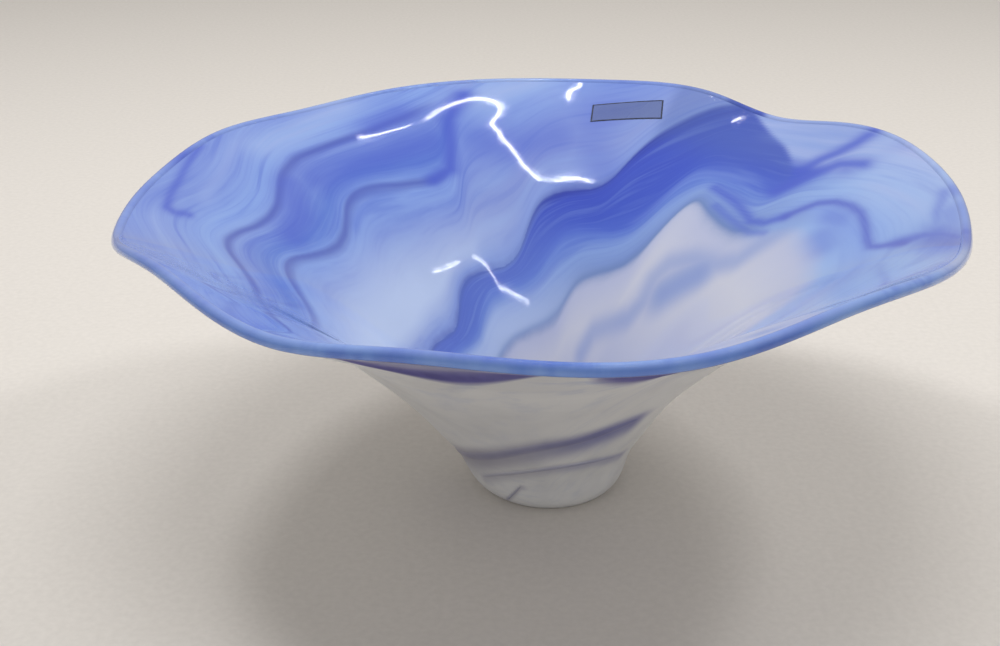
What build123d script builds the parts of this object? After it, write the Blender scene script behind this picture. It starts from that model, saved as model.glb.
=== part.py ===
"""Art glass bowl: opal casing, blue lining, rounded lip, colour trails and a blank label.

Millimetres, +Z up.  The origin is the centre of the foot's underside on the table.
Azimuth 0 is +X and 90 is +Y.
"""
from build123d import *
from math import asin, cos, hypot, pi, radians, sin, sqrt
import os

# Driving dimensions ---------------------------------------------------------------

# The rim: the centre line of the rounded lip as (azimuth, radius, height).
RIM = (
    (0, 181, 140), (12, 184.5, 142.5), (24, 186, 145), (36, 184.5, 142), (47, 180, 138),
    (60, 183, 144), (78, 186, 144.5), (100, 186, 144.5), (118, 187, 143), (134, 186, 141),
    (150, 188, 142), (164, 187, 139), (178, 188, 136), (190, 189, 135), (200, 186.5, 141),
    (210, 182, 145), (222, 182, 144), (236, 185, 142), (252, 187, 148), (268, 187.5, 147.5),
    (285, 187, 148.2), (303, 182, 154), (320, 180, 150), (334, 178, 143), (348, 178, 138.5),
)
MEAN_RIM = (184, 143)

# The outside of the wall from the foot up, as (radius, height), round at every height.
OUTSIDE = ((30.5, 0), (34, 3), (41, 18), (51, 34), (64, 52), (86, 76), (117, 102), (153, 124.5))
# The inside of the floor, as (radius, height), under the rings that follow the wall.
FLOOR = ((12, 9.5), (25, 13))
# Glass thickness at each of the outside's rings above the floor.
THICKNESS = (8.0, 7.0, 6.0, 5.3, 4.9, 4.5)
# The wall was drawn over to the left by this much, most of all half way up.
LEAN = 6.5

# The wall is lofted through this many steps of rings.
RING_STEPS = 24
# The rim's waviness fades down the wall to nothing at this share of the way up.
WAVE_START = 0.3
WAVE_POWER = 1.6

LIP_RADIUS = 2.6
LIP_WALL = 4.4
LIP_LEAN = 60
LIP_ARC_STEPS = 8

# The share of the wall's thickness taken by the white casing; the blue lining has the rest.
CASING_SHARE = 0.7

# Colour trails stand this far proud of the casing, the label this far above the lining.
TRAIL_HEIGHT = 0.5
LABEL_HEIGHT = 0.25

# Trails round the lower wall, seen from the front as (x, z) along the middle, and widths.
UPPER_TRAIL = ((-43, 19), (-34, 31), (-18, 41), (2, 50), (22, 55), (40, 60))
UPPER_TRAIL_WIDTH = 9.0
LOWER_TRAIL = ((-30, 15), (-14, 26), (4, 32), (22, 33), (34, 29))
LOWER_TRAIL_WIDTH = 4.0
NICK = ((-19.5, 3.2), (-16, 10), (-12, 16))
NICK_WIDTH = 1.8

# Dark tongues of blue that run down the outside from the lip, as (x, z) outlines.
LEFT_TONGUE = ((-58, 138), (-60, 115), (-50, 105), (-38, 104), (-24, 111), (-12, 126), (-8, 139))
RIGHT_TONGUE = ((4, 139), (9, 126), (18, 117), (30, 109), (42, 105), (54, 110), (60, 123), (60, 138))

LABEL_AZIMUTH = 73
LABEL_TILT = 12
LABEL_SIZE = (38, 14)
LABEL_BORDER = 0.8
LABEL_BELOW_LIP = 22


# The wall -------------------------------------------------------------------------

def along_lip():
    """Direction up the wall at the lip, as (radial, up)."""
    return sin(radians(LIP_LEAN)), cos(radians(LIP_LEAN))


def lip_sink():
    """How far the wall's top edge lies below the lip's centre line."""
    return sqrt(LIP_RADIUS ** 2 - (LIP_WALL / 2) ** 2)


def lip_point(share):
    """Offset from the lip's centre line to the wall's top edge; share 0 is outside."""
    radial, up = along_lip()
    across = LIP_WALL * (share - 0.5)
    return -radial * lip_sink() - up * across, -up * lip_sink() + radial * across


def outside_points():
    """The outside of the wall under the mean rim, as (radius, height)."""
    radial, up = lip_point(0)
    return OUTSIDE + ((MEAN_RIM[0] + radial, MEAN_RIM[1] + up),)


def inside_points():
    """The inside: the floor, the outside moved in by the glass thickness, and the lip."""
    outside = outside_points()
    points = list(FLOOR)
    for number, thickness in enumerate(THICKNESS, start=len(FLOOR)):
        run = outside[number + 1][0] - outside[number - 1][0]
        rise = outside[number + 1][1] - outside[number - 1][1]
        length = hypot(run, rise)
        radius, height = outside[number]
        points.append((radius - thickness * rise / length, height + thickness * run / length))
    radial, up = lip_point(1)
    points.append((MEAN_RIM[0] + radial, MEAN_RIM[1] + up))
    return points


def profile(points):
    """A smooth curve through (radius, height) points."""
    return Edge.make_spline([Vector(radius, 0, height) for radius, height in points])


OUTSIDE_PROFILE = profile(outside_points())
INSIDE_PROFILE = profile(inside_points())


def polar(azimuth, radius, height):
    return Vector(radius * cos(radians(azimuth)), radius * sin(radians(azimuth)), height)


def closed_ring(points):
    """A smooth closed wire through one point for each of the rim's azimuths."""
    turns = [azimuth / 360 for azimuth, _, _ in RIM] + [1]
    return Wire([Edge.make_spline(points, periodic=True, parameters=turns)])


def waviness(step):
    """How much of the rim's waviness a ring carries: none low down, all of it at the lip."""
    start = OUTSIDE_PROFILE.position_at(WAVE_START).X
    top = OUTSIDE_PROFILE.position_at(1).X
    radius = OUTSIDE_PROFILE.position_at(step / RING_STEPS).X
    return max(0, (radius - start) / (top - start)) ** WAVE_POWER


def lean(step):
    """How far a ring is moved over: nothing at the foot and at the lip."""
    return Vector(-LEAN * sin(pi * step / RING_STEPS), 0, 0)


def wall_ring(step, share, height=0):
    """One ring of the wall; share 0 is the outside and 1 the inside.

    A height moves the ring off its skin, further out or further in.
    """
    outside = OUTSIDE_PROFILE.position_at(step / RING_STEPS)
    inside = INSIDE_PROFILE.position_at(step / RING_STEPS)
    side = 1 if share == 1 else -1
    middle = outside + (inside - outside) * share + (inside - outside).normalized() * side * height
    wave = waviness(step)
    return closed_ring([
        polar(
            azimuth,
            middle.X + wave * (rim_radius - MEAN_RIM[0]),
            middle.Z + wave * (rim_height - MEAN_RIM[1]),
        ) + lean(step)
        for azimuth, rim_radius, rim_height in RIM
    ])


def wall_rings(share, height=0):
    """All the rings of one skin of the wall, from the floor to the lip."""
    return [wall_ring(step, share, height) for step in range(RING_STEPS + 1)]


def edge_strip(near, far):
    """The narrow face between two rings."""
    return Face.make_surface_from_curves(near.edge(), far.edge())


def layer(outer_share, inner_share):
    """One layer of glass, closed by discs at the floor and a strip at the top."""
    outer = wall_rings(outer_share)
    inner = wall_rings(inner_share)
    faces = Shell.make_loft(outer).faces() + Shell.make_loft(inner).faces()
    faces.append(edge_strip(outer[-1], inner[-1]))
    return Solid(Shell(faces + [Face(outer[0]), Face(inner[0])]))


def ring_off_rim(along, across):
    """A ring that follows the rim, offset up the wall and across its thickness."""
    radial, up = along_lip()
    return closed_ring([
        polar(azimuth, radius + radial * along - up * across, height + up * along + radial * across)
        for azimuth, radius, height in RIM
    ])


def make_lip_wrap():
    """The rounded bead that caps both layers at the rim."""
    overhang = asin(lip_sink() / LIP_RADIUS)
    sweep = pi + 2 * overhang
    rings = []
    for step in range(LIP_ARC_STEPS + 1):
        turn = sweep * step / LIP_ARC_STEPS - overhang
        rings.append(ring_off_rim(LIP_RADIUS * sin(turn), -LIP_RADIUS * cos(turn)))
    return Solid(Shell(Shell.make_loft(rings).faces() + [edge_strip(rings[0], rings[-1])]))


# Thin pieces that lie on the wall -------------------------------------------------

def thin_skin(share, height):
    """A thin closed layer over the whole outside (share 0) or inside (share 1) of the wall."""
    near = wall_rings(share)
    far = wall_rings(share, height)
    faces = Shell.make_loft(near).faces() + Shell.make_loft(far).faces()
    return Solid(Shell(faces + [edge_strip(near[0], far[0]), edge_strip(near[-1], far[-1])]))


def front_prism(outline):
    """A closed outline in the front view, as (x, z), pushed through the front of the bowl."""
    wire = Wire([Edge.make_spline([Vector(x, 0, z) for x, z in outline], periodic=True)])
    return Solid.extrude(Face(wire), Vector(0, -MEAN_RIM[0] - 40, 0))


def ribbon_outline(middle, width):
    """A ribbon with pointed ends about a middle line."""
    upper = []
    lower = []
    for before, here, after in zip(middle, middle[1:], middle[2:]):
        run = after[0] - before[0]
        rise = after[1] - before[1]
        scale = width / 2 / hypot(run, rise)
        upper.append((here[0] - rise * scale, here[1] + run * scale))
        lower.append((here[0] + rise * scale, here[1] - run * scale))
    return [middle[0]] + lower + [middle[-1]] + upper[::-1]


def only_solid(shape):
    """The one solid left by cutting a thin skin with a prism."""
    return shape.solids().sort_by(SortBy.VOLUME)[-1]


def make_trail(skin, middle, width):
    return only_solid(skin & front_prism(ribbon_outline(middle, width)))


def make_tongue(skin, outline):
    return only_solid(skin & front_prism(outline))


def label_plane():
    """The plane of the label: on the lining below the back of the rim, facing inwards."""
    radial, up = along_lip()
    edge_radial, edge_up = lip_point(1)
    rim_radius, rim_height = next((r, z) for azimuth, r, z in RIM if azimuth > LABEL_AZIMUTH)
    centre = polar(
        LABEL_AZIMUTH,
        rim_radius + edge_radial - radial * LABEL_BELOW_LIP,
        rim_height + edge_up - up * LABEL_BELOW_LIP,
    )
    right = polar(LABEL_AZIMUTH - 90, 1, 0)
    facing = polar(LABEL_AZIMUTH, -up, radial)
    return Plane(origin=centre, x_dir=right, z_dir=facing).rotated((0, 0, LABEL_TILT))


def label_block(length, width):
    """A block over the label's outline, deep enough to pass through the curved wall."""
    deep = LABEL_SIZE[0] / 2
    return label_plane() * Box(length, width, deep)


def make_label(skin):
    """The clear film and the thin dark border round it."""
    length, width = LABEL_SIZE
    inner = label_block(length - 2 * LABEL_BORDER, width - 2 * LABEL_BORDER)
    outer = label_block(length, width)
    film = only_solid(skin & inner)
    border = only_solid(skin & outer - inner)
    return film, border


# The parts ------------------------------------------------------------------------

def save(name, shape):
    shape.label = name
    export_step(shape, f"parts/{name}.step")


def main():
    os.makedirs("parts", exist_ok=True)
    save("outer_casing", layer(0, CASING_SHARE))
    save("blue_lining", layer(CASING_SHARE, 1))
    save("lip_wrap", make_lip_wrap())

    outside_skin = thin_skin(0, TRAIL_HEIGHT)
    save("trail_upper", make_trail(outside_skin, UPPER_TRAIL, UPPER_TRAIL_WIDTH))
    save("trail_lower", make_trail(outside_skin, LOWER_TRAIL, LOWER_TRAIL_WIDTH))
    save("trail_nick", make_trail(outside_skin, NICK, NICK_WIDTH))
    save("tongue_left", make_tongue(outside_skin, LEFT_TONGUE))
    save("tongue_right", make_tongue(outside_skin, RIGHT_TONGUE))

    film, border = make_label(thin_skin(1, LABEL_HEIGHT))
    save("label_film", film)
    save("label_border", border)


main()
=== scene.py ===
"""Looks of the art glass bowl: glass skins with flowing colour, lip, colour trails and label.

Metres, +Z up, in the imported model's frame.  A place on the wall is an azimuth in degrees
(0 is +X, 90 is +Y) and a rise, which is 0 at the foot or floor and 1 at the lip.
"""
import bpy
import numpy as np
from math import asin, atan2, cos, degrees, hypot, pi, radians, sin, sqrt
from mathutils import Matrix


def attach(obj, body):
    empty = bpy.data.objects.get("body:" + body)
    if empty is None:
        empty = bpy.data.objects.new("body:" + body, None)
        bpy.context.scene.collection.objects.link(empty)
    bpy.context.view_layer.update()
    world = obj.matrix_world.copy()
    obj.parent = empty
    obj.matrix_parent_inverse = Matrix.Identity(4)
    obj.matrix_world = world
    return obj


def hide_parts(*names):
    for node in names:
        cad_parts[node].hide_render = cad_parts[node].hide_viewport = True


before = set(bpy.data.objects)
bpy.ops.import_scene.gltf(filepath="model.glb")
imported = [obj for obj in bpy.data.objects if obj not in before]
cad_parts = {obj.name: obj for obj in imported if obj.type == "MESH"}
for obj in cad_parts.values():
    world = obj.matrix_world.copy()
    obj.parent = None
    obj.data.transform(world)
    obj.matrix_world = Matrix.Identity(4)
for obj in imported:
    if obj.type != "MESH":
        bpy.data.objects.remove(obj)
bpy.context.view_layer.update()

# Driving dimensions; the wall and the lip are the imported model's -------------------

# The lip's centre line as (azimuth, radius, height).
RIM = (
    (0, 0.181, 0.140), (12, 0.1845, 0.1425), (24, 0.186, 0.145), (36, 0.1845, 0.142),
    (47, 0.180, 0.138), (60, 0.183, 0.144), (78, 0.186, 0.1445), (100, 0.186, 0.1445),
    (118, 0.187, 0.143), (134, 0.186, 0.141), (150, 0.188, 0.142), (164, 0.187, 0.139),
    (178, 0.188, 0.136), (190, 0.189, 0.135), (200, 0.1865, 0.141), (210, 0.182, 0.145),
    (222, 0.182, 0.144), (236, 0.185, 0.142), (252, 0.187, 0.148), (268, 0.1875, 0.1475),
    (285, 0.187, 0.1482), (303, 0.182, 0.154), (320, 0.180, 0.150), (334, 0.178, 0.143),
    (348, 0.178, 0.1385),
)
MEAN_RIM = (0.184, 0.143)

# The outside of the wall and the inside of the floor, as (radius, height).
OUTSIDE = (
    (0.0305, 0), (0.034, 0.003), (0.041, 0.018), (0.051, 0.034),
    (0.064, 0.052), (0.086, 0.076), (0.117, 0.102), (0.153, 0.1245),
)
FLOOR = ((0.012, 0.0095), (0.025, 0.013))
THICKNESS = (0.008, 0.007, 0.006, 0.0053, 0.0049, 0.0045)
LEAN = 0.0065
WAVE_START = 0.3
WAVE_POWER = 1.6
LIP_RADIUS = 0.0026
LIP_WALL = 0.0044
LIP_LEAN = 60
CASING_SHARE = 0.7

# How finely the pieces are divided: round the bowl, up each skin, up the hidden faces, round
# the lip, along and across a trail, across and down a tongue, and along and across the label.
COLUMNS = 576
SKIN_STEPS = 130
HIDDEN_STEPS = 24
LIP_STEPS = 20
TRAIL_GRID = (60, 13)
TONGUE_GRID = (60, 14)
LABEL_GRID = (60, 24)
BORDER_STEPS = 30
# Rings of the casing's and the lining's floors, as shares of the way out from the axis.
CASING_FLOOR = (0.3, 0.6, 0.85, 0.97)
LINING_FLOOR = (0.25, 0.5, 0.75)
HIDDEN_FLOOR = (0.6, 0.3)

# Soft optic ribs left by the mould: their number, depth and the azimuth of one crest.
RIBS = 10
RIB_DEPTH = 0.0008
RIB_CREST = 82

# Colour trails round the lower wall, seen from the front as (x, z), and their widths.
TRAILS = {
    "trail_upper": (
        ((-0.043, 0.019), (-0.034, 0.031), (-0.018, 0.041), (0.002, 0.050), (0.022, 0.055),
         (0.040, 0.060)), 0.009),
    "trail_lower": (
        ((-0.030, 0.015), (-0.014, 0.026), (0.004, 0.032), (0.022, 0.033), (0.034, 0.029)), 0.004),
    "trail_nick": (((-0.0195, 0.0032), (-0.016, 0.010), (-0.012, 0.016)), 0.0018),
}
TRAIL_HEIGHT = 0.0004
# How strongly each trail is coloured, and how strong the smoke round it is.
TRAIL_DEPTH = {"trail_upper": 1.0, "trail_lower": 0.65, "trail_nick": 0.9}
SMOKE_DEPTH = {"trail_upper": 1.0, "trail_lower": 0.55, "trail_nick": 0.7}
TRAIL_TAPER = 0.3
# A patch sinks this deep into the wall, and its thin edge stands this far above it.
PATCH_DEPTH = 0.0002
EDGE_HEIGHT = 0.00003
# The smoke round a trail fades over this share of the trail's width, less above it than below.
SMOKE_SPREAD = 0.9
SMOKE_ABOVE = 0.75
SMOKE_BELOW = 1.35

# Dark tongues under the lip: azimuth range, rise of the lowest point, the rise over which
# the colour comes in above the lower edge, and how much of it clears towards the lip.
TONGUES = {
    "tongue_left": (243, 268, 0.66, 0.07, 0.6),
    "tongue_right": (272, 299, 0.67, 0.22, 0.0),
}
# The colour fades over this many degrees at a tongue's sides.
TONGUE_SIDE = 6

LABEL_AZIMUTH = 73
LABEL_TILT = 12
LABEL_SIZE = (0.038, 0.014)
LABEL_BORDER = 0.0008
LABEL_BELOW_LIP = 0.022
LABEL_HEIGHT = 0.0002


# Curves ---------------------------------------------------------------------------

def spline(knots, values, period=None):
    """A smooth curve through values at knots, closed if it has a period."""
    knots = np.asarray(knots, float)
    values = np.asarray(values, float)
    if period:
        knots = np.append(knots, knots[0] + period)
        values = np.append(values, values[:1], axis=0)
    count = len(knots)
    step = np.diff(knots)
    slope = np.diff(values, axis=0) / step.reshape((-1,) + (1,) * (values.ndim - 1))
    matrix = np.zeros((count, count))
    right = np.zeros_like(values)
    for row in range(count):
        before = step[row - 1]
        after = step[row] if row < count - 1 else step[0]
        if 0 < row < count - 1 or period:
            wrapped = row - 1 if row else count - 2
            following = row + 1 if row < count - 1 else 1
            last = slope[row - 1] if row else slope[-1]
            now = slope[row] if row < count - 1 else slope[0]
            matrix[row, wrapped] += 1 / before
            matrix[row, row] += 2 / before + 2 / after
            matrix[row, following] += 1 / after
            right[row] = 3 * (last / before + now / after)
        else:
            near, far = (0, 1) if row == 0 else (-1, -2)
            matrix[row, row] = 1
            reach = step[near] + step[far]
            right[row] = ((reach + step[near]) * slope[near] - step[near] * slope[far]) / reach
    tangents = np.linalg.solve(matrix, right)

    def curve(at):
        at = np.asarray(at, float)
        if period:
            at = (at - knots[0]) % period + knots[0]
        piece = np.clip(np.searchsorted(knots, at, side="right") - 1, 0, count - 2)
        width = step[piece]
        share = (at - knots[piece]) / width
        if values.ndim > 1:
            width = width[..., None]
            share = share[..., None]
        return (
            values[piece] * (1 + 2 * share) * (1 - share) ** 2
            + tangents[piece] * width * share * (1 - share) ** 2
            + values[piece + 1] * share ** 2 * (3 - 2 * share)
            + tangents[piece + 1] * width * share ** 2 * (share - 1)
        )

    return curve


def profile(points):
    """A smooth curve through (radius, height) points, by share of its length."""
    points = np.asarray(points, float)
    lengths = np.append(0, np.cumsum(np.hypot(*np.diff(points, axis=0).T)))
    return spline(lengths / lengths[-1], points)


def smooth(low, high, value):
    """0 below low and 1 above high, with a soft step between."""
    share = np.clip((value - low) / (high - low), 0, 1)
    return share * share * (3 - 2 * share)


def window(azimuth, low, high, soft):
    """1 between two azimuths and 0 outside, with soft ends, all the way round."""
    middle = (low + high) / 2
    away = np.abs((azimuth - middle + 180) % 360 - 180)
    half = (high - low) / 2
    return 1 - smooth(half - soft / 2, half + soft / 2, away)


# The wall -------------------------------------------------------------------------

ALONG_LIP = (sin(radians(LIP_LEAN)), cos(radians(LIP_LEAN)))
LIP_SINK = sqrt(LIP_RADIUS ** 2 - (LIP_WALL / 2) ** 2)


def lip_edge(share):
    """The wall's top edge under the mean rim; share 0 is outside and 1 inside."""
    radial, up = ALONG_LIP
    across = LIP_WALL * (share - 0.5)
    return (
        MEAN_RIM[0] - radial * LIP_SINK - up * across,
        MEAN_RIM[1] - up * LIP_SINK + radial * across,
    )


def inside_points():
    """The floor, the outside moved in by the glass thickness, and the lip."""
    outside = OUTSIDE + (lip_edge(0),)
    points = list(FLOOR)
    for number, thickness in enumerate(THICKNESS, start=len(FLOOR)):
        run = outside[number + 1][0] - outside[number - 1][0]
        rise = outside[number + 1][1] - outside[number - 1][1]
        length = hypot(run, rise)
        radius, height = outside[number]
        points.append((radius - thickness * rise / length, height + thickness * run / length))
    return points + [lip_edge(1)]


OUTSIDE_PROFILE = profile(OUTSIDE + (lip_edge(0),))
INSIDE_PROFILE = profile(inside_points())
RIM_CURVE = spline([place[0] for place in RIM], [place[1:] for place in RIM], period=360)
WAVE_RADII = OUTSIDE_PROFILE(np.array([WAVE_START, 1.0]))[:, 0]


def waviness(rise):
    """How much of the rim's waviness the wall carries."""
    low, high = WAVE_RADII
    return np.clip((OUTSIDE_PROFILE(rise)[..., 0] - low) / (high - low), 0, None) ** WAVE_POWER


def ribs(azimuth, rise):
    """The soft ribs' height, gone at the foot and at the lip."""
    fade = smooth(0.2, 0.5, rise) * (1 - smooth(0.86, 0.99, rise))
    return RIB_DEPTH * fade * np.cos(np.radians(RIBS * (azimuth - RIB_CREST)))


def wall(azimuth, rise, share, lift=0.0):
    """Points of the wall. Share 0 is the outside, 1 the inside; lift is inwards and up."""
    azimuth, rise, share, lift = np.broadcast_arrays(azimuth, rise, share, lift)
    rise = np.clip(rise, 0, 1)
    outside = OUTSIDE_PROFILE(rise)
    through = INSIDE_PROFILE(rise) - outside
    middle = outside + through * share[..., None]
    along = OUTSIDE_PROFILE(np.minimum(rise + 0.01, 1)) - OUTSIDE_PROFILE(np.maximum(rise - 0.01, 0))
    along /= np.linalg.norm(along, axis=-1, keepdims=True)
    normal = np.stack([-along[..., 1], along[..., 0]], axis=-1)
    middle = middle + normal * (lift + ribs(azimuth, rise))[..., None]
    flat = middle + waviness(rise)[..., None] * (RIM_CURVE(azimuth) - MEAN_RIM)
    turn = np.radians(azimuth)
    across = flat[..., 0] * np.cos(turn) - LEAN * np.sin(pi * rise)
    return np.stack([across, flat[..., 0] * np.sin(turn), flat[..., 1]], -1)


# The flow of colour ---------------------------------------------------------------

# Lines that the colour follows, lowest first, as (azimuth, rise) all the way round.
WHITE_EDGE = (
    (-90, 0.12), (-75, 0.25), (-60, 0.38), (-40, 0.52), (-25, 0.585), (-18, 0.64), (-10, 0.685),
    (0, 0.70), (16, 0.70), (20, 0.665), (24, 0.63), (30, 0.615), (36, 0.625), (42, 0.65),
    (46, 0.68), (48, 0.675), (49.5, 0.62), (51, 0.54), (53, 0.485), (57, 0.455), (63, 0.435),
    (69, 0.415), (73, 0.39), (76, 0.345), (79, 0.305), (84, 0.287), (92, 0.275), (101, 0.258),
    (108, 0.235), (118, 0.20), (150, 0.15), (200, 0.12),
)
BAND_FOOT = (
    (-90, 0.20), (-75, 0.33), (-60, 0.52), (-45, 0.72), (-30, 0.92), (-20, 1.0), (-10, 1.03),
    (0, 1.02), (10, 0.98), (18, 0.935), (23, 0.91), (26, 0.89), (28, 0.85), (29, 0.80),
    (30.5, 0.765), (34, 0.755), (39, 0.765), (45, 0.775), (50, 0.765), (53, 0.74), (54, 0.70),
    (55, 0.66), (57, 0.61), (60, 0.575), (65, 0.553), (76, 0.54), (80, 0.525), (83, 0.49),
    (86, 0.455), (89, 0.43), (94, 0.41), (102, 0.395), (108, 0.385), (112, 0.36), (116, 0.33),
    (120, 0.30), (126, 0.285), (136, 0.275), (150, 0.26), (170, 0.24), (200, 0.22), (240, 0.20),
)
BAND_TOP = (
    (-90, 0.27), (-75, 0.47), (-60, 0.72), (-45, 0.95), (-35, 1.06), (40, 1.06), (52, 1.04),
    (57, 0.98), (60, 0.93), (63, 0.88), (66, 0.82), (68, 0.76), (70, 0.69), (74, 0.655),
    (83, 0.64), (87, 0.625), (89, 0.60), (91, 0.55), (93, 0.50), (96, 0.465), (100, 0.445),
    (112, 0.433), (116, 0.425), (120, 0.405), (123, 0.375), (126, 0.345), (130, 0.32),
    (134, 0.312), (150, 0.303), (170, 0.29), (200, 0.275), (240, 0.26),
)
FIRST_WAVE = (
    (-90, 0.95), (-75, 1.08), (-60, 1.2), (60, 1.2), (85, 1.08), (98, 1.01), (104, 0.95),
    (107.5, 0.88), (108.5, 0.80), (109.5, 0.735), (112, 0.70), (117, 0.693), (124, 0.702),
    (128, 0.715), (132, 0.722), (136, 0.716), (140, 0.692), (144, 0.65), (148, 0.62),
    (153, 0.604), (158, 0.607), (164, 0.627), (169, 0.651), (173, 0.656), (177, 0.646),
    (183, 0.616), (189, 0.592), (195, 0.584), (201, 0.588), (208, 0.615), (215, 0.665),
    (222, 0.72), (230, 0.77), (245, 0.80), (258, 0.86),
)
SECOND_WAVE = (
    (-90, 1.08), (-70, 1.25), (-60, 1.3), (60, 1.3), (90, 1.12), (98, 1.05), (104, 0.985),
    (109, 0.945), (116, 0.905), (124, 0.885), (133, 0.878), (142, 0.863), (148.5, 0.827),
    (153, 0.79), (157, 0.762), (162, 0.752), (167, 0.759), (172, 0.78), (177, 0.792),
    (181, 0.78), (186, 0.744), (191, 0.722), (197, 0.716), (203, 0.728), (210, 0.758),
    (217, 0.793), (222, 0.823), (228, 0.86), (240, 0.90), (255, 1.0),
)
FLOW_LINES = (WHITE_EDGE, BAND_FOOT, BAND_TOP, FIRST_WAVE, SECOND_WAVE)
FLOW_AT_FLOOR = -1.5
FLOW_PAST_LAST = (0.3, 2.0)

# A degree of azimuth and a whole rise, in millimetres of glass half way up the wall.
SHEET_SCALE = (2.1, 230)


def eased_line(points, softness=1.2):
    """The rise of a line at any azimuth, with its corners eased."""
    turn = np.arange(0, 360, 0.5)
    azimuths = [azimuth % 360 for azimuth, _ in points]
    rises = np.interp(turn, azimuths, [rise for _, rise in points], period=360)
    away = np.arange(-8, 8.5, 0.5)
    weights = np.exp(-(away / softness) ** 2 / 2)
    padded = np.concatenate([rises[-16:], rises, rises[:16]])
    eased = np.convolve(padded, weights / weights.sum(), mode="valid")
    return lambda azimuth: np.interp(azimuth, turn, eased, period=360)


EASED_LINES = [eased_line(points) for points in FLOW_LINES]


def flow(azimuth, rise):
    """0 on the lowest flow line, 1 on the next, and so on, shared out evenly between them."""
    lines = [line(azimuth) for line in EASED_LINES]
    result = FLOW_AT_FLOOR * (1 - rise / lines[0])
    for number, (low, high) in enumerate(zip(lines, lines[1:])):
        result = np.where(rise > low, number + (rise - low) / (high - low), result)
    span, gain = FLOW_PAST_LAST
    last = len(lines) - 1
    return np.where(rise > lines[-1], last + (rise - lines[-1]) / span * gain, result)


def stroke(azimuth, rise, points, width):
    """A soft brush stroke along points: 1 in its middle, fading out over its width in mm."""
    here = np.stack([azimuth * SHEET_SCALE[0], rise * SHEET_SCALE[1]], -1)
    nearest = np.full(azimuth.shape, np.inf)
    path = np.array([(a * SHEET_SCALE[0], r * SHEET_SCALE[1]) for a, r in points])
    if len(path) == 1:
        path = np.repeat(path, 2, axis=0)
    turn = 360 * SHEET_SCALE[0]
    for start, end in zip(path, path[1:]):
        run = end - start
        offset = here - start
        offset[..., 0] = (offset[..., 0] + turn / 2) % turn - turn / 2
        share = np.clip((offset @ run) / max(run @ run, 1e-9), 0, 1)
        nearest = np.minimum(nearest, np.linalg.norm(offset - share[..., None] * run, axis=-1))
    return np.exp(-(nearest / width) ** 2)


def strokes(azimuth, rise, painted):
    """The strongest of several strokes, each given as (strength, width, points)."""
    result = np.zeros(azimuth.shape)
    for strength, width, points in painted:
        result = np.maximum(result, strength * stroke(azimuth, rise, points, width))
    return result


# The edge between the painted shadow that the rim casts on the inside near the lip and the
# pale wedge beside it: azimuths and rises, and how soft the edge is.
SHADE_EDGE = ((30, 31, 33, 36, 40, 45, 52), (0.75, 0.80, 0.835, 0.865, 0.905, 0.945, 1.01))
SHADE_SOFTNESS = (-0.008, 0.010)

# Sides of the bowl as azimuths from and to, and over how many degrees they fade in: the painted
# shadow, the wedge, the paler right side, the wave lines and the lower left painted paler as light.
SHADE_SIDE = (29, 66, 3)
WEDGE_SIDE = (21, 54, 6)
PALE_SIDE = (-58, 24, 14)
WAVE_SIDE = (112, 236, 10)
LOW_SIDE = (78, 215, 16)

# Brush strokes on the inside: strength, width in mm and the points along the stroke.
DEEP_STROKES = (
    (0.9, 4.5, ((104, 0.96), (107.5, 0.88), (108.5, 0.79), (110, 0.72), (115, 0.695))),
    (0.6, 9.0, ((117, 0.92), (122, 0.90))),
    (0.55, 9.0, ((149, 0.79), (155, 0.71), (162, 0.69))),
    (0.55, 12.0, ((113, 0.81), (122, 0.80), (134, 0.79), (141, 0.78))),
    (0.45, 13.0, ((86, 0.80), (95, 0.77), (103, 0.82))),
    (0.3, 11.0, ((74, 0.72), (79, 0.80), (77, 0.90))),
    (0.7, 2.4, ((156.5, 1.0), (161, 0.985), (167, 0.967), (173, 0.953), (176, 0.944),
                (176.5, 0.923), (175, 0.893))),
    (0.75, 4.5, ((-8, 0.883), (-9, 0.93), (-11.5, 0.967), (-15, 0.995))),
    (0.7, 11.0, ((-11, 0.95), (-15, 0.975), (-18, 0.99))),
    (0.4, 3.0, ((-11, 0.95), (-2.5, 0.962), (3, 0.99))),
    (0.35, 7.0, ((-4, 0.985), (-12, 0.985))),
    (0.8, 3.2, ((28, 0.99), (28.2, 0.95), (29, 0.92), (30.5, 0.886), (31.2, 0.84))),
    (0.8, 4.0, ((22, 0.915), (26, 0.89), (28, 0.85), (29.5, 0.80), (31, 0.765))),
    (0.5, 6.0, ((24, 0.89),)),
    (0.7, 2.8, ((22, 0.72), (25, 0.685), (29, 0.675), (33, 0.69), (38, 0.71), (45, 0.735))),
    (0.4, 2.4, ((22, 0.665), (26, 0.65), (31, 0.655), (37, 0.67), (41, 0.685))),
    (0.35, 8.0, ((3, 0.735), (7, 0.74))),
    (0.3, 7.0, ((10, 0.79), (12, 0.78))),
)
PALE_STROKES = (
    (0.9, 12.0, ((92, 0.99), (101, 0.955))),
    (0.8, 10.0, ((127, 0.985), (137, 0.95), (146, 0.93))),
    (0.35, 5.0, ((150, 0.96), (160, 0.914), (168, 0.89))),
    (0.4, 7.0, ((181, 0.95), (190, 0.89), (202, 0.88))),
    (0.7, 14.0, ((3, 0.93), (12, 0.89))),
)
GREY_STROKES = (
    (0.55, 12.0, ((64, 0.24), (60, 0.30), (45, 0.35), (42, 0.40), (43, 0.464), (41, 0.508),
                 (35, 0.536), (26, 0.548), (20, 0.58), (18.5, 0.66), (18, 0.73))),
    (0.7, 19.0, ((29, 0.51), (36, 0.44))),
    (0.4, 8.0, ((-14, 0.74), (-13, 0.68))),
)
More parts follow.
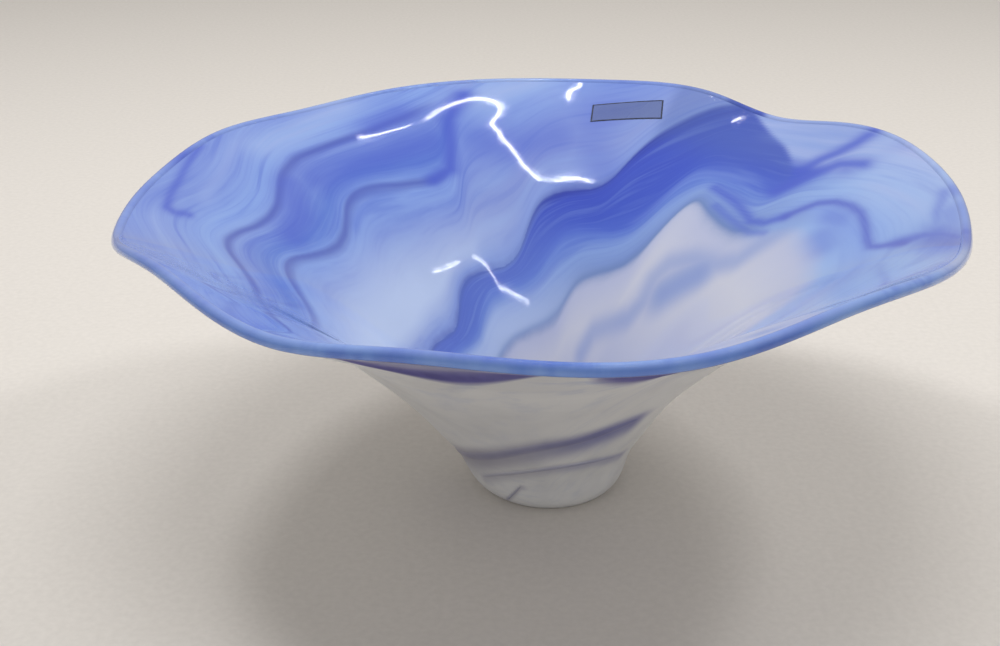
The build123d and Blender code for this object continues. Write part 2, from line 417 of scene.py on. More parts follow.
THREAD = (
    (-9, 0.89), (-7.5, 0.865), (-6.5, 0.84), (-5, 0.822), (-2, 0.82), (3, 0.826), (8, 0.832),
    (12, 0.826), (16, 0.81), (19, 0.785), (20.5, 0.755), (22, 0.72),
)
THREAD_WIDTH = 2.8


def lining_fields(azimuth, rise):
    """What the lining's material reads at each point."""
    below_edge = np.interp(azimuth % 360, SHADE_EDGE[0], SHADE_EDGE[1]) - rise
    # The shade is a painted shadow of the rim near the lip; the wedge is the pale part beside its
    # edge.
    shade = smooth(*SHADE_SOFTNESS, below_edge) * smooth(0.76, 0.90, rise)
    shade = shade * window(azimuth, *SHADE_SIDE)
    wedge = smooth(*SHADE_SOFTNESS, -below_edge) * smooth(0.84, 0.885, rise)
    wedge = wedge * window(azimuth, *WEDGE_SIDE)
    return {
        "flow": flow(azimuth, rise),
        "pale_side": window(azimuth, *PALE_SIDE),
        "wave_side": window(azimuth, *WAVE_SIDE),
        "deep": strokes(azimuth, rise, DEEP_STROKES),
        "pale": np.maximum(strokes(azimuth, rise, PALE_STROKES), wedge),
        "grey": strokes(azimuth, rise, GREY_STROKES),
        "thread": stroke(azimuth, rise, THREAD, THREAD_WIDTH),
        "shade": shade,
        # Painted light: the lower wall is painted paler towards the bottom, where light fills the
        # bowl.
        "low": smooth(0.64, 0.40, rise) * window(azimuth, *LOW_SIDE),
        "slate_lit_low": smooth(0.48, 0.28, rise),
    }


def front_place(x, z):
    """The azimuth and rise of a point on the outside, seen from the front as (x, z)."""
    rises = np.linspace(0, 1, 400)
    azimuth = 270.0
    for _ in range(6):
        points = wall(np.full(rises.shape, azimuth), rises, 0)
        rise = np.interp(z, points[:, 2], rises)
        radius = np.interp(z, points[:, 2], np.hypot(points[:, 0], points[:, 1]))
        azimuth = 270 + degrees(asin(max(-0.99, min(0.99, x / radius))))
    return azimuth, float(rise)


TRAIL_PLACES = {
    name: [front_place(x, z) for x, z in middle] for name, (middle, _) in TRAILS.items()
}


def height_stroke(azimuth, height, places, width):
    """Strength of a smoky trail at a height on the outside, fading over its width."""
    azimuths = [place[0] for place in places]
    heights = [OUTSIDE_PROFILE(np.array(place[1]))[1] for place in places]
    middle = np.interp(azimuth, azimuths, heights)
    ends = window(azimuth, azimuths[0] - 3, azimuths[-1] + 3, 8)
    above = height - middle
    soft = np.where(above > 0, SMOKE_ABOVE, SMOKE_BELOW) * width
    return ends * np.exp(-np.abs(above / soft) ** 3)


def casing_fields(azimuth, rise):
    """What the materials of the casing, the trails and the tongues read at each point."""
    height = OUTSIDE_PROFILE(np.clip(rise, 0, 1))[..., 1]
    smoke = np.zeros(azimuth.shape)
    for name, places in TRAIL_PLACES.items():
        width = TRAILS[name][1] * SMOKE_SPREAD
        here = SMOKE_DEPTH[name] * height_stroke(azimuth, height, places, width)
        smoke = np.maximum(smoke, here)
    dark = np.zeros(azimuth.shape)
    for start, end, lowest, softness, clearing in TONGUES.values():
        middle = (start + end) / 2
        across = (azimuth - middle) / ((end - start) / 2)
        reach = 1 - (1 - lowest) * np.sqrt(np.clip(1 - across ** 2, 0, 1))
        inside = window(azimuth, start, end, TONGUE_SIDE)
        above = rise - reach
        crescent = smooth(-0.01, softness, above) * (1 - clearing * smooth(0.09, 0.26, above))
        dark = np.maximum(dark, inside * crescent)
    return {
        "flow": flow(azimuth, rise),
        "smoke": smoke,
        "dark": dark,
        "rise": rise,
    }


# Meshes ---------------------------------------------------------------------------

def add_fields(mesh, azimuth, fields):
    """Stores what the materials read, with a direction that has no seam."""
    turn = np.radians(azimuth)
    stream = np.stack([np.cos(turn), np.sin(turn), fields["flow"]], -1)
    mesh.attributes.new("stream", "FLOAT_VECTOR", "POINT").data.foreach_set("vector", stream.ravel())
    for name, values in fields.items():
        mesh.attributes.new(name, "FLOAT", "POINT").data.foreach_set("value", values.ravel())


def new_piece(name, points, faces, replaced):
    """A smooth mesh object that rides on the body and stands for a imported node."""
    mesh = bpy.data.meshes.new(name)
    mesh.from_pydata(points.tolist(), [], faces)
    mesh.shade_smooth()
    mesh.set_sharp_from_angle(angle=radians(50))
    mesh.validate()
    piece = bpy.data.objects.new(name, mesh)
    bpy.context.collection.objects.link(piece)
    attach(piece, "root")
    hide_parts(replaced)
    return piece


def ring_faces(rows, columns, closed=False):
    """Faces between rings of points one above the other, and back to the first if closed."""
    faces = []
    for row in range(rows if closed else rows - 1):
        low = row * columns
        high = (row + 1) % rows * columns
        for column in range(columns):
            after = (column + 1) % columns
            faces.append((low + column, low + after, high + after, high + column))
    return faces


def turned(rings):
    """Points, azimuths, rises and faces of a closed skin from one pole to the other.

    A ring is (rise, share, reach); reach under 1 draws the ring in towards the axis.
    """
    azimuth = np.arange(COLUMNS) * 360 / COLUMNS
    points = []
    rises = []
    for rise, share, reach in rings:
        ring = wall(azimuth, rise, share)
        ring[:, :2] *= reach
        points.append(ring)
        rises.append(np.full(COLUMNS, float(rise)))
    poles = [points[0].mean(axis=0, keepdims=True), points[-1].mean(axis=0, keepdims=True)]
    count = len(rings) * COLUMNS
    last = count - COLUMNS
    faces = ring_faces(len(rings), COLUMNS)
    for column in range(COLUMNS):
        after = (column + 1) % COLUMNS
        faces.append((after, column, count))
        faces.append((last + column, last + after, count + 1))
    azimuths = np.concatenate([np.tile(azimuth, len(rings)), [0, 0]])
    rises = np.concatenate(rises + [[0, 0]])
    return np.concatenate(points + poles), azimuths, rises, faces


def layer_rings(near_share, far_share, near_caps, far_caps):
    """Rings from the middle of the near skin's floor, up, over the lip and back down."""
    rings = [(0, near_share, reach) for reach in near_caps]
    rings += [(rise, near_share, 1) for rise in np.linspace(0, 1, SKIN_STEPS + 1)]
    rings += [(rise, far_share, 1) for rise in np.linspace(1, 0, HIDDEN_STEPS + 1)]
    rings += [(0, far_share, reach) for reach in far_caps]
    return rings


def make_casing():
    rings = layer_rings(0, CASING_SHARE, CASING_FLOOR, HIDDEN_FLOOR)
    points, azimuth, rise, faces = turned(rings)
    piece = new_piece("casing", points, faces, "outer_casing")
    add_fields(piece.data, azimuth, casing_fields(azimuth, rise))
    return piece


def make_lining():
    rings = layer_rings(1, CASING_SHARE, LINING_FLOOR, HIDDEN_FLOOR)
    points, azimuth, rise, faces = turned(rings)
    inwards = [face[::-1] for face in faces]
    piece = new_piece("lining", points, inwards, "blue_lining")
    add_fields(piece.data, azimuth, lining_fields(azimuth, rise))
    return piece


def make_lip():
    """The rounded bead over the rim, closed along the wall's top edge."""
    azimuth = np.arange(COLUMNS) * 360 / COLUMNS
    turn = np.radians(azimuth)
    rim = RIM_CURVE(azimuth)
    overhang = asin(LIP_SINK / LIP_RADIUS)
    radial, up = ALONG_LIP
    rings = []
    for angle in np.linspace(-overhang, pi + overhang, LIP_STEPS + 1):
        along = LIP_RADIUS * sin(angle)
        across = -LIP_RADIUS * cos(angle)
        radius = rim[:, 0] + radial * along - up * across
        height = rim[:, 1] + up * along + radial * across
        rings.append(np.stack([radius * np.cos(turn), radius * np.sin(turn), height], -1))
    count = len(rings)
    faces = ring_faces(count, COLUMNS, closed=True)
    piece = new_piece("lip", np.concatenate(rings), faces, "lip_wrap")
    around = np.tile(azimuth, count)
    fields = lining_fields(around, np.full(around.shape, 0.985))
    fields["inward"] = np.repeat(np.linspace(0, 1, count), COLUMNS)
    add_fields(piece.data, around, fields)
    return piece


def patch(name, azimuths, rises, heights, share, fields):
    """A thin closed patch on the outside (share 0) or the inside (share 1) of the wall.

    The grids give each point's place and its height above the wall.
    """
    rows, columns = azimuths.shape
    inwards = 1 if share else -1
    top = wall(azimuths, rises, share, inwards * heights)
    base = wall(azimuths, rises, share, -inwards * PATCH_DEPTH)
    points = np.concatenate([top.reshape(-1, 3), base.reshape(-1, 3)])
    under = rows * columns
    faces = []
    for row in range(rows - 1):
        for column in range(columns - 1):
            corner = row * columns + column
            faces.append((corner, corner + 1, corner + columns + 1, corner + columns))
            faces.append(tuple(under + index for index in reversed(faces[-1])))
    border = [(0, column) for column in range(columns)]
    border += [(row, columns - 1) for row in range(1, rows)]
    border += [(rows - 1, column) for column in range(columns - 2, -1, -1)]
    border += [(row, 0) for row in range(rows - 2, 0, -1)]
    edge = [row * columns + column for row, column in border]
    for near, far in zip(edge, edge[1:] + edge[:1]):
        faces.append((far, near, under + near, under + far))
    if not share:
        faces = [face[::-1] for face in faces]
    piece = new_piece(name + "_patch", points, faces, name)
    around = np.tile(azimuths.ravel(), 2)
    add_fields(piece.data, around, fields(around, np.tile(rises.ravel(), 2)))
    return piece


def make_trail(name):
    """A ribbon of colour on the casing, lens-shaped across and pointed at its ends."""
    places = np.array(TRAIL_PLACES[name])
    width = TRAILS[name][1] / (SHEET_SCALE[1] / 1000)
    middle = profile_through(places)
    along = np.linspace(0, 1, TRAIL_GRID[0])
    across = np.linspace(-1, 1, TRAIL_GRID[1])
    centre = middle(along)
    taper = np.sin(pi * np.clip(along, 0.001, 0.999)) ** TRAIL_TAPER
    azimuths = np.repeat(centre[:, :1], len(across), axis=1)
    rises = centre[:, 1:] + width / 2 * taper[:, None] * across[None, :]
    core = taper[:, None] * (1 - across[None, :] ** 2)
    heights = TRAIL_HEIGHT * core + EDGE_HEIGHT

    def trail_fields(azimuth, rise):
        depth = TRAIL_DEPTH[name] * np.tile(core.ravel(), 2)
        return {**casing_fields(azimuth, rise), "core": depth}

    return patch(name, azimuths, rises, heights, 0, trail_fields)


def profile_through(places):
    """A smooth curve through (azimuth, rise) places."""
    return spline(np.linspace(0, 1, len(places)), places)


def make_tongue(name):
    """A dark tongue that hangs from the lip and thins out downwards."""
    start, end, lowest = TONGUES[name][:3]
    across = np.linspace(-1, 1, TONGUE_GRID[0])
    down = np.linspace(0, 1, TONGUE_GRID[1])
    reach = 1 - (1 - lowest) * np.sqrt(np.clip(1 - across ** 2, 0.0004, 1))
    azimuths = (start + end) / 2 + across * (end - start) / 2
    azimuths = np.repeat(azimuths[:, None], len(down), axis=1)
    rises = reach[:, None] + (0.999 - reach[:, None]) * down[None, :]
    edge = (1 - across ** 2)[:, None] * np.sin(down[None, :] * pi / 2)
    heights = TRAIL_HEIGHT * edge + EDGE_HEIGHT
    return patch(name, azimuths, rises, heights, 0, casing_fields)


def label_grid(across, upward):
    """Azimuths and rises for a grid over the label, in metres from its middle."""
    rises = np.linspace(0.6, 1, 200)
    points = wall(np.full(rises.shape, float(LABEL_AZIMUTH)), rises, 1)
    lengths = np.append(0, np.cumsum(np.linalg.norm(np.diff(points, axis=0), axis=1)))
    centre = lengths[-1] - LABEL_BELOW_LIP
    tilt = radians(LABEL_TILT)
    right, up = np.meshgrid(across, upward)
    along = right * cos(tilt) - up * sin(tilt)
    above = right * sin(tilt) + up * cos(tilt)
    grid_rises = np.interp(centre + above, lengths, rises)
    radius = np.hypot(points[:, 0], points[:, 1])
    grid_radius = np.interp(centre + above, lengths, radius)
    return LABEL_AZIMUTH - np.degrees(along / grid_radius), grid_rises


def make_label_film():
    length, width = (side / 2 - LABEL_BORDER for side in LABEL_SIZE)
    columns, rows = LABEL_GRID
    azimuths, rises = label_grid(np.linspace(-length, length, columns),
                                 np.linspace(-width, width, rows))
    heights = np.full(azimuths.shape, LABEL_HEIGHT)
    return patch("label_film", azimuths, rises, heights, 1, lining_fields)


def make_label_border():
    """The printed border, as one closed frame round the film."""
    length, width = (side / 2 for side in LABEL_SIZE)
    outline = rectangle(length, width)
    inner = outline * ((length - LABEL_BORDER) / length, (width - LABEL_BORDER) / width)
    rings = []
    for loop, lift in ((outline, -PATCH_DEPTH), (outline, LABEL_HEIGHT), (inner, LABEL_HEIGHT),
                       (inner, -PATCH_DEPTH)):
        azimuths, rises = label_places(loop)
        rings.append((azimuths, rises, wall(azimuths, rises, 1, lift)))
    faces = ring_faces(len(rings), len(outline), closed=True)
    points = np.concatenate([ring[2] for ring in rings])
    piece = new_piece("label_border_frame", points, faces, "label_border")
    azimuths = np.concatenate([ring[0] for ring in rings])
    rises = np.concatenate([ring[1] for ring in rings])
    add_fields(piece.data, azimuths, lining_fields(azimuths, rises))
    return piece


def rectangle(length, width):
    """A rectangle's outline as evenly spaced points, anticlockwise."""
    side = np.linspace(-1, 1, BORDER_STEPS, endpoint=False)
    one = np.ones(BORDER_STEPS)
    return np.concatenate([
        np.stack([side * length, -one * width], -1),
        np.stack([one * length, side * width], -1),
        np.stack([-side * length, one * width], -1),
        np.stack([-one * length, -side * width], -1),
    ])


def label_places(loop):
    """Azimuths and rises of points given in metres from the label's middle."""
    places = [label_grid(np.array([x]), np.array([y])) for x, y in loop]
    return (np.array([place[0][0, 0] for place in places]),
            np.array([place[1][0, 0] for place in places]))


# Materials ------------------------------------------------------------------------

def srgb(red, green, blue):
    """A colour given as eight-bit values, ready for a socket."""
    def linear(value):
        value /= 255
        return value / 12.92 if value <= 0.04045 else ((value + 0.055) / 1.055) ** 2.4

    return linear(red), linear(green), linear(blue), 1.0


class Shader:
    """A material's nodes, with a short call for each kind of node."""

    def __init__(self, name):
        self.material = bpy.data.materials.new(name)
        self.material.use_nodes = True
        self.tree = self.material.node_tree
        self.surface = self.tree.nodes["Principled BSDF"]

    def feed(self, socket, value):
        if isinstance(value, bpy.types.NodeSocket):
            self.tree.links.new(value, socket)
        else:
            socket.default_value = value

    def node(self, kind, inputs, **settings):
        node = self.tree.nodes.new(kind)
        for key, value in settings.items():
            setattr(node, key, value)
        for socket, value in inputs.items():
            self.feed(node.inputs[socket], value)
        return node

    def maths(self, operation, *values, clamp=False):
        inputs = dict(enumerate(values))
        return self.node("ShaderNodeMath", inputs, operation=operation, use_clamp=clamp).outputs[0]

    def field(self, name):
        return self.node("ShaderNodeAttribute", {}, attribute_name=name).outputs["Fac"]

    def stream(self, along, across):
        """Coordinates that follow the flow, scaled along and across it."""
        source = self.node("ShaderNodeAttribute", {}, attribute_name="stream").outputs["Vector"]
        inputs = {"Vector": source, "Scale": (along, along, across)}
        return self.node("ShaderNodeMapping", inputs).outputs[0]

    def place(self):
        return self.node("ShaderNodeTexCoord", {}).outputs["Object"]

    def noise(self, vector, scale, detail=2.0, roughness=0.5, distortion=0.0):
        inputs = {"Vector": vector, "Scale": scale, "Detail": detail, "Roughness": roughness,
                  "Distortion": distortion}
        return self.node("ShaderNodeTexNoise", inputs).outputs["Fac"]

    def between(self, value, low, high):
        """The value remapped so that low becomes 0 and high becomes 1, with a soft step."""
        inputs = {"Value": value, "From Min": low, "From Max": high}
        return self.node("ShaderNodeMapRange", inputs, interpolation_type="SMOOTHSTEP").outputs[0]

    def scaled(self, value, low, high):
        """A 0 to 1 value spread evenly from low to high."""
        inputs = {"Value": value, "To Min": low, "To Max": high}
        return self.node("ShaderNodeMapRange", inputs).outputs[0]

    def ramp(self, value, stops):
        ramp = self.node("ShaderNodeValToRGB", {"Fac": value})
        elements = ramp.color_ramp.elements
        while len(elements) < len(stops):
            elements.new(0.5)
        for element, (position, colour) in zip(elements, stops):
            element.position = position
            element.color = colour
        return ramp.outputs["Color"]

    def mix(self, share, first, second):
        node = self.node("ShaderNodeMix", {}, data_type="RGBA")
        for socket, value in zip((0, 6, 7), (share, first, second)):
            self.feed(node.inputs[socket], value)
        return node.outputs[2]

    def bump(self, height, distance, strength=1.0):
        inputs = {"Height": height, "Distance": distance, "Strength": strength}
        self.feed(self.surface.inputs["Normal"], self.node("ShaderNodeBump", inputs).outputs[0])

    def finish(self, colour, roughness, coat=0.5, specular=0.5):
        surface = self.surface.inputs
        surface["Specular IOR Level"].default_value = specular
        self.feed(surface["Base Color"], colour)
        self.feed(surface["Roughness"], roughness)
        surface["IOR"].default_value = 1.5
        surface["Coat Weight"].default_value = coat
        surface["Coat Roughness"].default_value = 0.03
        return self.material


WHITE = srgb(206, 208, 220)
LILAC_WHITE = srgb(186, 192, 218)
SLATE = srgb(112, 137, 190)
SLATE_BLUE = srgb(126, 152, 208)
MID_BLUE = srgb(132, 160, 218)
EDGE_BLUE = srgb(100, 130, 210)
BAND_BLUE = srgb(74, 102, 202)
COBALT = srgb(54, 76, 188)
COBALT_MIX = srgb(60, 86, 194)
DEEP_COBALT = srgb(44, 60, 164)
HALO = srgb(136, 159, 220)
LILAC = srgb(137, 155, 214)
PERIWINKLE = srgb(122, 146, 216)
WAVE_BLUE = srgb(88, 122, 208)
SKY = srgb(132, 162, 226)
# Paler blue painted low down on the lining, standing in for the light there.
LIT_LOW_SKY = srgb(190, 207, 238)
PALE_SKY = srgb(150, 180, 230)
PALE_LILAC = srgb(168, 182, 226)
STROKE_BLUE = srgb(72, 94, 200)
STROKE_GREY = srgb(126, 150, 208)
LINE_BLUE = srgb(72, 88, 178)
THREAD_BLUE = srgb(84, 102, 198)
SHADE_BLUE = srgb(78, 102, 172)
VEIL_BLUE = srgb(150, 168, 212)
BAND_SHADOW = srgb(120, 138, 200)
SMOKE_LILAC = srgb(168, 168, 188)
SMOKE_BLUE = srgb(124, 128, 184)
TONGUE_EDGE = srgb(104, 100, 168)
TRAIL_BLUE = srgb(100, 102, 158)
LIP_BLUE = srgb(60, 78, 176)
FILM_GREY = srgb(88, 102, 150)

# The flow values that the colour ramps cover, the middle of the cobalt band, where it meets
# the lilac, and the two wave lines with the widths of their dark threads.
FLOW_RANGE = (-1.5, 6.0)
BAND_MIDDLE = 1.45
BAND_END = 2.02
WAVE_LINES = ((3.0, 0.10), (4.0, 0.14))


def flow_stops(*stops):
    """Colour stops given by their place on the flow scale."""
    low, high = FLOW_RANGE
    return [((place - low) / (high - low), colour) for place, colour in stops]


def flow_colour(shader):
    """The lining's colour before its streaks: two sets of bands, for the two sides."""
    value = shader.field("flow")
    broad = shader.noise(shader.stream(2.2, 0.9), 1.6, 3.0)
    fine = shader.noise(shader.stream(7.0, 4.0), 2.0, 3.0)
    value = shader.maths("ADD", value, shader.scaled(broad, -0.06, 0.06))
    value = shader.maths("ADD", value, shader.scaled(fine, -0.01, 0.01))
    low, high = FLOW_RANGE
    share = shader.maths("DIVIDE", shader.maths("SUBTRACT", value, low), high - low)
    bands = shader.ramp(share, flow_stops(
        (-1.2, LILAC_WHITE), (-0.4, WHITE), (-0.05, LILAC_WHITE), (0.12, SLATE), (0.3, SLATE_BLUE),
        (0.6, MID_BLUE), (0.85, EDGE_BLUE), (1.0, BAND_BLUE), (1.2, COBALT_MIX), (1.8, COBALT),
        (1.95, DEEP_COBALT), (2.05, HALO), (2.3, LILAC), (2.65, PERIWINKLE), (2.95, SKY),
        (3.3, WAVE_BLUE), (3.9, PERIWINKLE), (4.3, SKY), (5.0, PERIWINKLE)))
    pale = shader.ramp(share, flow_stops(
        (-1.2, LILAC_WHITE), (-0.35, WHITE), (-0.05, LILAC_WHITE), (0.12, PALE_SKY), (0.35, SKY),
        (0.7, PALE_SKY), (1.5, PALE_LILAC), (1.9, SKY)))
    return shader.mix(shader.field("pale_side"), bands, pale)


def streaked(shader, colour):
    """Adds soft streaks that follow the flow, weaker in the white and in the cobalt band."""
    long = shader.noise(shader.stream(1.8, 5.0), 1.3, 3.0, 0.5)
    hair = shader.noise(shader.stream(2.6, 17.0), 1.3, 3.0, 0.5)
    value = shader.field("flow")
    off_band = shader.maths("ABSOLUTE", shader.maths("SUBTRACT", value, BAND_MIDDLE))
    strength = shader.maths("MULTIPLY", shader.between(value, 0.0, 0.8),
                            shader.scaled(shader.between(off_band, 0.4, 0.8), 0.65, 1.0))
    for noise, light_share, dark_share in ((long, 0.30, 0.42), (hair, 0.12, 0.20)):
        light = shader.maths("MULTIPLY", shader.between(noise, 0.50, 0.74), strength)
        colour = shader.mix(shader.maths("MULTIPLY", light, light_share), colour, PALE_SKY)
        dark = shader.maths("MULTIPLY", shader.between(noise, 0.50, 0.28), strength)
        colour = shader.mix(shader.maths("MULTIPLY", dark, dark_share), colour, BAND_BLUE)
    return colour


def wave_line(shader, value, place, width):
    """Strength of a thin line where the flow has a value."""
    away = shader.maths("ABSOLUTE", shader.maths("SUBTRACT", value, place))
    return shader.between(away, width, 0.0)


def lining_colour(shader):
    """The blue lining: bands, streaks, lines, strokes, painted light low down and a painted shadow.
    """
    colour = streaked(shader, flow_colour(shader))
    value = shader.field("flow")
    # Painted light: paler towards the bottom, past the band, in the slate and at the band's foot.
    past_band = shader.between(value, BAND_END, BAND_END + 0.23)
    low = shader.maths("MULTIPLY", shader.field("low"), past_band)
    colour = shader.mix(shader.maths("MULTIPLY", low, 0.95), colour, LIT_LOW_SKY)
    under_band = shader.between(value, 0.95, 0.6)
    slate_lit_low = shader.maths("MULTIPLY", shader.field("slate_lit_low"), under_band)
    slate_lit_low = shader.maths("MULTIPLY", slate_lit_low, shader.between(value, 0.0, 0.25))
    colour = shader.mix(shader.maths("MULTIPLY", slate_lit_low, 0.7), colour, LIT_LOW_SKY)
    up_to_end = shader.between(value, BAND_END, BAND_END - 0.04)
    band_lit_low = shader.maths("MULTIPLY", shader.field("low"), up_to_end)
    band_lit_low = shader.maths("MULTIPLY", band_lit_low, shader.between(value, 0.3, 1.0))
    colour = shader.mix(shader.maths("MULTIPLY", band_lit_low, 0.3), colour, SKY)
    grey = shader.between(shader.field("grey"), 0.12, 0.95)
    colour = shader.mix(grey, colour, STROKE_GREY)
    wisps = shader.noise(shader.stream(2.0, 9.0), 1.3, 3.0)
    pale = shader.maths("MULTIPLY", shader.field("pale"), shader.scaled(wisps, 0.55, 1.0))
    colour = shader.mix(pale, colour, shader.mix(wisps, PALE_SKY, PALE_LILAC))
    for place, width in WAVE_LINES:
        line = shader.maths("MULTIPLY", wave_line(shader, value, place, width),
                            shader.field("wave_side"))
        colour = shader.mix(shader.maths("MULTIPLY", line, 0.75), colour, LINE_BLUE)
    deep = shader.maths("POWER", shader.field("deep"), 0.8)
    colour = shader.mix(deep, colour, STROKE_BLUE)
    thread = shader.maths("MULTIPLY", shader.field("thread"), 0.85)
    colour = shader.mix(thread, colour, THREAD_BLUE)
    # Painted shadow of the rim on the inside near the lip, as a darker blue.
    shade = shader.maths("MULTIPLY", shader.field("shade"), 0.45)
    return shader.mix(shade, colour, SHADE_BLUE)


def wavy_gloss(shader, low, high):
    """Roughness that drifts a little over the surface, as hand-worked glass does."""
    drift = shader.noise(shader.place(), 18.0, 3.0)
    return shader.scaled(drift, low, high)


def glass_bump(shader, distance):
    """A faint wobble and finer tool marks in the surface."""
    wobble = shader.noise(shader.place(), 26.0, 2.0)
    marks = shader.noise(shader.place(), 120.0, 2.0)
    height = shader.maths("ADD", wobble, shader.maths("MULTIPLY", marks, 0.06))
    shader.bump(height, distance)


def blue_glass():
    shader = Shader("blue_glass")
    glass_bump(shader, 0.00025)
    return shader.finish(lining_colour(shader), wavy_gloss(shader, 0.03, 0.10))


def lip_glass():
    """The lip: clear bright blue, deeper where it meets the wall on the outside."""
    shader = Shader("lip_glass")
    around = shader.noise(shader.stream(5.0, 3.0), 1.3, 3.0)
    base = shader.ramp(around, [
        (0.3, srgb(76, 112, 206)), (0.5, srgb(96, 138, 222)), (0.7, srgb(122, 160, 230))])
    inward = shader.field("inward")
    colour = shader.mix(shader.between(inward, 0.26, 0.04), base, LIP_BLUE)
    colour = shader.mix(shader.between(inward, 0.36, 0.66), colour, lining_colour(shader))
    glass_bump(shader, 0.0004)
    return shader.finish(colour, wavy_gloss(shader, 0.04, 0.12))


def smoke_colour(shader):
    """Smoky lilac-grey at the left of the trails, bluer at their right."""
    source = shader.node("ShaderNodeAttribute", {}, attribute_name="stream").outputs["Vector"]
    across = shader.node("ShaderNodeSeparateXYZ", {0: source}).outputs[0]
    return shader.mix(shader.between(across, -0.3, 0.5), SMOKE_LILAC, SMOKE_BLUE)


def opal_colour(shader):
    """White casing with clouds, a little of the lining's flow showing through, and smoke."""
    clouds = shader.noise(shader.place(), 16.0, 4.0, 0.55, 0.6)
    white = shader.ramp(clouds, [
        (0.3, srgb(218, 220, 224)), (0.55, srgb(234, 236, 239)), (0.75, srgb(241, 243, 245))])
    veil = shader.noise(shader.stream(4.0, 5.0), 1.5, 4.0, 0.6)
    thin = shader.between(shader.field("rise"), 0.35, 1.0)
    veil = shader.maths("MULTIPLY", shader.between(veil, 0.45, 0.75), shader.scaled(thin, 0.12, 0.6))
    colour = shader.mix(veil, white, VEIL_BLUE)
    band = shader.maths("MULTIPLY", wave_line(shader, shader.field("flow"), 1.5, 0.8), thin)
    colour = shader.mix(shader.maths("MULTIPLY", band, 0.35), colour, BAND_SHADOW)
    broken = shader.scaled(shader.noise(shader.place(), 40.0, 3.0), 0.7, 1.15)
    smoke = shader.maths("MULTIPLY", shader.field("smoke"), broken, clamp=True)
    colour = shader.mix(smoke, colour, smoke_colour(shader))
    return shader.mix(shader.field("dark"), colour, TONGUE_EDGE)


def opal_glass():
    shader = Shader("opal_glass")
    glass_bump(shader, 0.0005)
    surface = shader.surface.inputs
    surface["Subsurface Weight"].default_value = 0.2
    surface["Subsurface Radius"].default_value = (1.0, 1.0, 1.0)
    surface["Subsurface Scale"].default_value = 0.004
    return shader.finish(opal_colour(shader), wavy_gloss(shader, 0.24, 0.38), 0.06, 0.3)


def trail_glass():
    """A trail takes the casing's colour at its edges and is deeper in its middle."""
    shader = Shader("trail_glass")
    streak = shader.noise(shader.place(), 60.0, 3.0)
    share = shader.maths("MULTIPLY", shader.field("core"), shader.scaled(streak, 0.2, 0.8),
                         clamp=True)
    colour = shader.mix(share, opal_colour(shader), TRAIL_BLUE)
    glass_bump(shader, 0.0004)
    return shader.finish(colour, wavy_gloss(shader, 0.24, 0.38), 0.06, 0.3)


def tongue_glass():
    """A dark tongue, navy under the lip and fading to the casing's white below."""
    shader = Shader("tongue_glass")
    streak = shader.noise(shader.stream(12.0, 2.0), 2.0, 3.0)
    navy = shader.ramp(streak, [(0.3, srgb(70, 66, 144)), (0.7, srgb(92, 88, 164))])
    colour = shader.mix(shader.field("dark"), opal_colour(shader), navy)
    glass_bump(shader, 0.0002)
    return shader.finish(colour, wavy_gloss(shader, 0.4, 0.5), 0.0, 0.08)


def label_film():
    """Clear film: the lining's colour behind it, greyer, with faint wrinkles."""
    shader = Shader("label_film")
    colour = shader.mix(0.75, lining_colour(shader), FILM_GREY)
    wrinkle = shader.noise(shader.place(), 220.0, 2.0)
    shader.bump(wrinkle, 0.0001)
    return shader.finish(colour, wavy_gloss(shader, 0.2, 0.35), 0.2)


def label_ink():
    """The dark printed border, thinner here and there."""
    shader = Shader("label_ink")
    worn = shader.noise(shader.place(), 500.0, 3.0)
    colour = shader.ramp(worn, [(0.35, srgb(38, 42, 58)), (0.75, srgb(70, 78, 104))])
    shader.bump(worn, 0.00005)
    return shader.finish(colour, wavy_gloss(shader, 0.3, 0.5), 0.0)


# The stage ------------------------------------------------------------------------

CAMERA_PLACE = (-0.023, -0.632, 0.362)
CAMERA_PITCH = 24
CAMERA_LENS = 54
CAMERA_SENSOR = 36

FLOOR_RADIUS = 6.0

# Thin ceiling tubes, seen from above as (x, y), and how strongly they glow per square metre.
TUBE_LINES = (
    ((0.33, 0.95), (-0.17, 0.25)),
    ((-0.02, 1.05), (0.03, 1.08)),
    ((1.10, -0.10), (0.80, -0.55), (-0.10, -0.94)),
)
TUBE_HEIGHT = 2.0
TUBE_WIDTH = 0.008
TUBE_GLOW = 160

# Soft lights as place, size and power, all turned to the middle of the bowl.
SOFT_LIGHTS = {
    "right": ((0.90, 0.40, 1.15), (0.25, 0.25), 5.1),
    "left": ((-0.62, 0.45, 1.20), (0.25, 0.25), 4.8),
    "overhead": ((0.0, 0.1, 1.6), (0.9, 0.8), 8.2),
    "front_fill": ((-0.3, -1.6, 1.0), (1.2, 0.8), 2.0),
}
LIGHT_TARGET = (0, 0, 0.08)
WORLD_COLOUR = (1.0, 0.97, 0.93, 1.0)
WORLD_STRENGTH = 0.42


def make_camera():
    data = bpy.data.cameras.new("camera")
    data.lens = CAMERA_LENS
    data.sensor_width = CAMERA_SENSOR
    camera = bpy.data.objects.new("camera", data)
    camera.location = CAMERA_PLACE
    camera.rotation_euler = (radians(90 - CAMERA_PITCH), 0, 0)
    bpy.context.collection.objects.link(camera)
    bpy.context.scene.camera = camera


def floor_paint():
    """A plain pale floor with a faint grain."""
    shader = Shader("floor_paint")
    grain = shader.noise(shader.place(), 300.0, 3.0)
    colour = shader.ramp(grain, [(0.3, srgb(219, 214, 208)), (0.7, srgb(225, 220, 214))])
    shader.bump(grain, 0.0001)
    return shader.finish(colour, shader.scaled(grain, 0.6, 0.75), 0.0, 0.2)


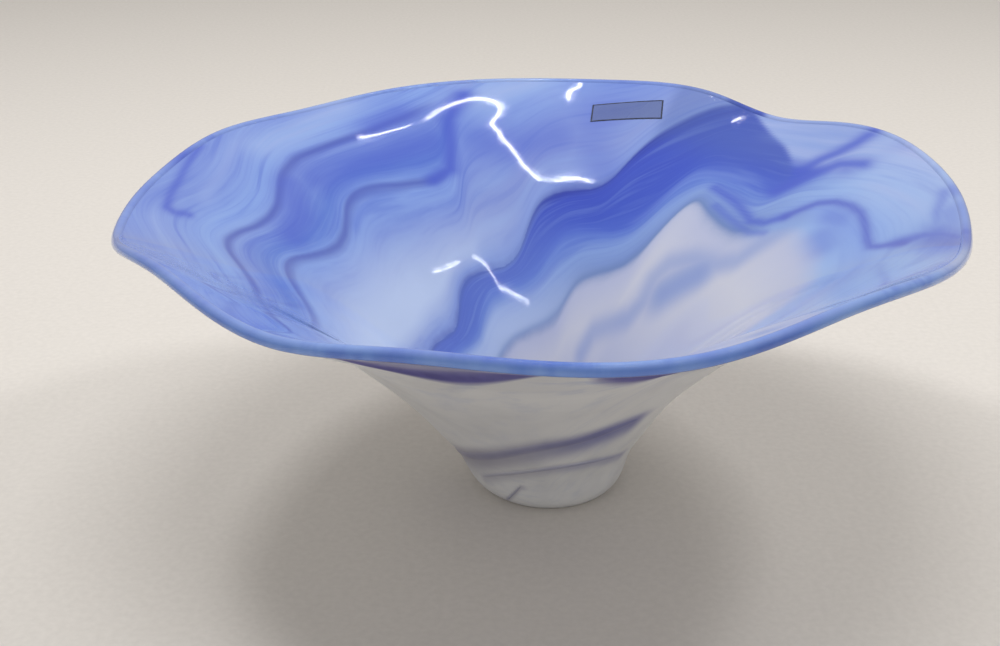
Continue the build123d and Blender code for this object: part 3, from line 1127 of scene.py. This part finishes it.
def make_floor():
    turn = np.radians(np.arange(0, 360, 5))
    points = np.stack([np.cos(turn), np.sin(turn), np.zeros(len(turn))], -1) * FLOOR_RADIUS
    mesh = bpy.data.meshes.new("floor")
    mesh.from_pydata(points.tolist(), [], [tuple(range(len(turn)))])
    floor = bpy.data.objects.new("floor", mesh)
    floor.data.materials.append(floor_paint())
    bpy.context.collection.objects.link(floor)


def aim(obj, target):
    """Turns a light at place so that it faces a target."""
    away = np.array(obj.location) - np.array(target)
    flat = hypot(away[0], away[1])
    obj.rotation_euler = (atan2(flat, away[2]), 0, atan2(away[1], away[0]) + pi / 2)


def area_light(name, place, size, power):
    data = bpy.data.lights.new(name, "AREA")
    data.shape = "RECTANGLE"
    data.size, data.size_y = size
    data.energy = power
    light = bpy.data.objects.new(name, data)
    light.location = place
    bpy.context.collection.objects.link(light)
    return light


def add_light(name, place, target, size, power):
    """A soft light that shines but does not show in the gloss."""
    light = area_light(name, place, size, power)
    light.visible_glossy = False
    aim(light, target)


def add_tube(name, start, end):
    """A thin ceiling tube that only shows in the gloss."""
    run = np.array(end) - np.array(start)
    middle = (np.array(start) + np.array(end)) / 2
    length = float(np.hypot(*run))
    size = (length, TUBE_WIDTH)
    light = area_light(name, (*middle, TUBE_HEIGHT), size, TUBE_GLOW * length * TUBE_WIDTH)
    light.rotation_euler = (0, 0, atan2(run[1], run[0]))
    light.visible_diffuse = False


def make_lights():
    for name, (place, size, power) in SOFT_LIGHTS.items():
        add_light(name, place, LIGHT_TARGET, size, power)
    for number, line in enumerate(TUBE_LINES):
        for start, end in zip(line, line[1:]):
            add_tube(f"tube_{number}", start, end)
    world = bpy.data.worlds.new("studio")
    world.use_nodes = True
    background = world.node_tree.nodes["Background"].inputs
    background["Color"].default_value = WORLD_COLOUR
    background["Strength"].default_value = WORLD_STRENGTH
    bpy.context.scene.world = world
    bpy.context.scene.view_settings.view_transform = "Standard"


# The bowl -------------------------------------------------------------------------

def main():
    pieces = [
        (make_casing(), opal_glass()),
        (make_lining(), blue_glass()),
        (make_lip(), lip_glass()),
        (make_label_film(), label_film()),
        (make_label_border(), label_ink()),
    ]
    trail_finish = trail_glass()
    pieces += [(make_trail(name), trail_finish) for name in TRAILS]
    tongue_finish = tongue_glass()
    pieces += [(make_tongue(name), tongue_finish) for name in TONGUES]
    for piece, material in pieces:
        piece.data.materials.append(material)
    make_floor()
    make_lights()
    make_camera()


main()
